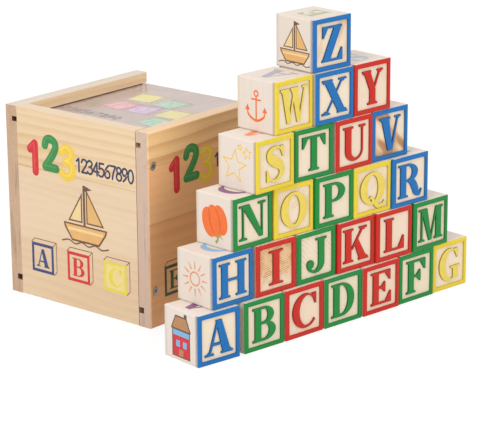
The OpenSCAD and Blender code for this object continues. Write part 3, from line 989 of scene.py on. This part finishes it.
def framed(ink, line_ink, letter, x, y, size):
    """A drawn block: a frame with a capital in it, and fine lines for its top and side."""
    h, t, d = size / 2, size * 0.1, size * 0.14
    bars = [rect(-h, -h, h, t - h), rect(-h, h - t, h, h), rect(-h, -h, t - h, h), rect(h - t, -h, h, h)]
    lines = strokes([(-h, h), (-h + d, h + d), (h + d, h + d), (h + d, d - h), (h, -h)], size * 0.027)
    lines += strokes([(h, h), (h + d, h + d)], size * 0.027)
    wash = [(ink + "_wash", [rect(x - h, y - h, x + h, y + h)])] if ink + "_wash" in INKS else []
    return wash + [(line_ink, placed(lines, 1, x, y)),
                   (ink, placed(bars, 1, x, y) + placed(glyph(letter, size * 0.62), 1, x, y))]


def face_print(picture, letters, frame_inks):
    layers = []
    for k, (ink, y) in enumerate(BIG_DIGITS):
        x = BIG_X + BIG_PITCH * k
        for tone, shift, width in ((ink, 0, BIG_STROKE), (ink + "_glint", GLINT_SHIFT, GLINT_STROKE)):
            layers.append((tone, number_row(DIGITS[k], BIG_HEIGHT, 0, x - shift, y + shift, width)))
    layers.append(("navy", number_row(DIGITS, **SMALL_ROW)))
    for ink, shapes in PICTURES[picture]:
        layers.append((ink, placed(shapes, PICTURE_HALF, PICTURE_X, PICTURE_Y)))
    start = TILE_X - TILE_PITCHES[len(letters)] * (len(letters) - 1) / 2
    for k, (letter, ink) in enumerate(zip(letters, frame_inks)):
        layers += framed(ink, "brown", letter, start + TILE_PITCHES[len(letters)] * k, TILE_Y, TILE)
    return layers


# Inks printed over others: once over, and over that again
UPPER_INKS = (("red_glint", "green_glint", "gold_glint", "honey", "cream", "sky", "zest"), ("cream",))


def add_crate_prints(inks):
    low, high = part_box("right_side_panel")
    x0, y0, x1 = low[0], low[1], high[0]
    y1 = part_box("left_side_panel")[1][1]
    faces = (("left", (x0, y1, 0), "boat", "abc", ("denim", "red", "zest")),
             ("front", (x0, y0, 0), "balloon", "efgh", ("forest", "blue", "red", "gold")),
             ("back", (x1, y1, 0), "fish", "xyz", ("blue", "green", "red")))
    parts = []
    for side, corner, picture, letters, frame_inks in faces:
        for ink, outlines in face_print(picture, letters, frame_inks):
            level = sum(ink in upper for upper in UPPER_INKS)
            parts.append((ink_film(outlines, face_place(side, 0, *corner), level), inks[ink]))
    printed = new_object("crate_print", parts)
    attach(printed, "crate")


def add_lid_print(inks):
    low, high = (Vector(v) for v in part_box("lid"))
    place = face_place("lid", 0, (low.x + high.x) / 2, (low.y + high.y) / 2, high.z)
    layers = [("slate", number_row(DIGITS, **LID_ROW))]
    h = LID_TILE / 2
    for ink, letter, x, y, turn in LID_TILES:
        shapes = []
        for _, outlines in framed(ink, ink, letter, 0, 0, LID_TILE):
            shapes += outlines
        layers.append(("pale_" + ink, placed([rect(-h, -h, h, h)], 1, x, y, turn)))
        layers.append((ink, placed(shapes, 1, x, y, turn)))
    parts = [(ink_film(outlines, place, not ink.startswith("pale_")), inks[ink])
             for ink, outlines in layers]
    printed = new_object("lid_print", parts)
    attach(printed, "lid")


# Screws: the part's own sizes in millimetres
HEAD_R = 2.7
SHANK_R = 1.5
SCREW_LEN = 28.0
SINK = 0.2
POINT = 3.0
# The cross, half its length and half its width, and the thread
CROSS_REACH = 1.5
CROSS_HALF = 0.38
THREAD_START = 6.0
THREAD_PITCH = 1.2
ROOT_R = SHANK_R - 0.32


def revolved(profile, place):
    """A closed solid of revolution about Z from (radius, height) points, top to bottom."""
    bm = bmesh.new()
    rings = [[bm.verts.new((r * cos(a), r * sin(a), z)) for a in angles(24)] for r, z in profile]
    for upper, lower in zip(rings, rings[1:]):
        for k in range(len(upper)):
            bm.faces.new((upper[k - 1], lower[k - 1], lower[k], upper[k]))
    bm.faces.new(rings[0])
    bm.faces.new(rings[-1][::-1])
    return closed_mesh(bm, place)


def add_screws(steel, gap):
    """Countersunk cross-head screws, threaded below the head."""
    mesh = NODES["screws"].data
    xs = sorted({round(v.co.x, 5) for v in mesh.vertices})
    zs = sorted({round(v.co.z, 5) for v in mesh.vertices})
    ys = [v.co.y for v in mesh.vertices]
    reach = HEAD_R * MM
    cross = [rect(-CROSS_REACH, -CROSS_HALF, CROSS_REACH, CROSS_HALF),
             rect(-CROSS_HALF, -CROSS_REACH, CROSS_HALF, CROSS_REACH)]
    disc = [ellipse(0, 0, HEAD_R - 0.4, HEAD_R - 0.4, n=48)]
    rim = [ellipse(0, 0, HEAD_R - 0.04, HEAD_R - 0.04, n=48)]
    neck = -SINK - (HEAD_R - SHANK_R)
    z = neck - THREAD_START
    profile = [(HEAD_R - 0.75, -SINK - 0.75), (SHANK_R, neck), (SHANK_R, z)]
    while z > POINT - SCREW_LEN + THREAD_PITCH:
        profile += [(ROOT_R, z - 0.25), (SHANK_R, z - 0.6), (ROOT_R, z - 0.95)]
        z -= THREAD_PITCH
    profile += [(ROOT_R, POINT - SCREW_LEN), (0.05, -SCREW_LEN + 0.05)]
    parts = []
    rng = random.Random(8)
    for x in (xs[0] + reach, xs[-1] - reach):
        for z in (zs[0] + reach, zs[-1] - reach):
            for side, y in (("front", min(ys) - SINK * MM), ("back", max(ys) + SINK * MM)):
                place = face_place(side, 0, x, y, z) @ Matrix.Rotation(rng.uniform(0, pi), 4, "Z")
                parts.append((solid_mesh(disc, place, -SINK - 0.8, -SINK, 0.12, cross), steel))
                # A dark ring round each head, a painted shade of the gap in the countersink
                parts.append((solid_mesh(rim, place, -SINK - 0.9, -SINK - 0.3), gap))
                parts.append((revolved(profile, place), steel))
    screws = new_object("screw_set", parts)
    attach(screws, "crate")
    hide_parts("screws")


def seen_directly(g):
    """1 for a ray from the camera, also in a mirror or through glass, else 0."""
    ray = g.add("LightPath").outputs
    total = ray["Is Camera Ray"]
    for kind in ("Is Glossy Ray", "Is Transmission Ray"):
        total = g.add("Math", {0: total, 1: ray[kind]}, operation="ADD", use_clamp=True).outputs[0]
    return total


def add_stage():
    """A white studio: the floor shows white but keeps a soft shadow."""
    g = Graph("studio", world=True)
    light = g.shader("Background", (1.0, 0.985, 0.97, 1.0), Strength=WORLD_LIGHT)
    shown = g.shader("Background", WHITE)
    bpy.context.scene.world = g.close(g.blend(seen_directly(g), light, shown))

    g = Graph("floor")
    paper = g.shader("BsdfDiffuse", (0.8, 0.79, 0.78, 1.0))
    shade = g.shader("BsdfDiffuse", (0.34, 0.34, 0.34, 1.0))
    glow = g.shader("Emission", WHITE, Strength=0.74)
    soft = g.add("AddShader", {0: shade, 1: glow}).outputs[0]
    mesh = bpy.data.meshes.new("floor")
    r = FLOOR_R
    mesh.from_pydata([(-r, -r, 0), (r, -r, 0), (r, r, 0), (-r, r, 0)], [], [(0, 1, 2, 3)])
    mesh.materials.append(g.close(g.blend(seen_directly(g), paper, soft)))
    floor = linked("floor", mesh)


add_camera()
add_stage()
for lamp, (place, size, power) in LAMPS.items():
    add_lamp(lamp, Vector(place), size, power)

INK_MATERIALS = {name: ink_material(name) for name in INKS}
add_blocks(INK_MATERIALS)
add_crate_prints(INK_MATERIALS)
add_lid_print(INK_MATERIALS)
add_screws(steel_material("screw_steel", 1.0), steel_material("screw_gap_shade", 0.16))

FRONT_PINE = ((80.3, (234, 209, 177), (214, 178, 134), 0.22), (116.0, (236, 210, 172), (214, 172, 120), 0.6))
SIDE_PINE = ((62.0, (250, 188, 130), (226, 156, 102), 0.4), (95.7, (252, 194, 140), (226, 160, 108), 0.45),
             (116.0, (255, 213, 156), (218, 150, 95), 0.85))
# Paler tones for the panels' upward faces, a painted highlight
FRONT_LIT_TOP = (233, 212, 187)
LEFT_LIT_TOP = (224, 215, 206)
RIGHT_LIT_TOP = (235, 206, 177)
LEFT_END = (193, 159, 132)
RIGHT_END = (199, 179, 165)
RIGHT_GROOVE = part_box("right_side_panel")[1][1] / MM - GROOVE_DEPTH / 2
LEFT_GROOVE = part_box("left_side_panel")[0][1] / MM + GROOVE_DEPTH / 2
PANELS = {
    "front": ("y", FRONT_PINE, (-260, 0, -190), 1, LEFT_END, FRONT_LIT_TOP),
    "back": ("y", FRONT_PINE, (240, 0, -150), 2, LEFT_END, FRONT_LIT_TOP),
    "right_side": ("x", SIDE_PINE, (0, -220, -200), 3, RIGHT_END, RIGHT_LIT_TOP, RIGHT_GROOVE, (1.0, 0.25)),
    "left_side": ("x", FRONT_PINE, (0, 330, -180), 4, LEFT_END, LEFT_LIT_TOP, LEFT_GROOVE),
}
for panel, settings in PANELS.items():
    dress(panel + "_panel", pine_material(panel + "_pine", *settings))
dress("bottom_panel", ply_material())
dress("lid", acrylic_material())

bpy.context.scene.view_settings.view_transform = "Standard"
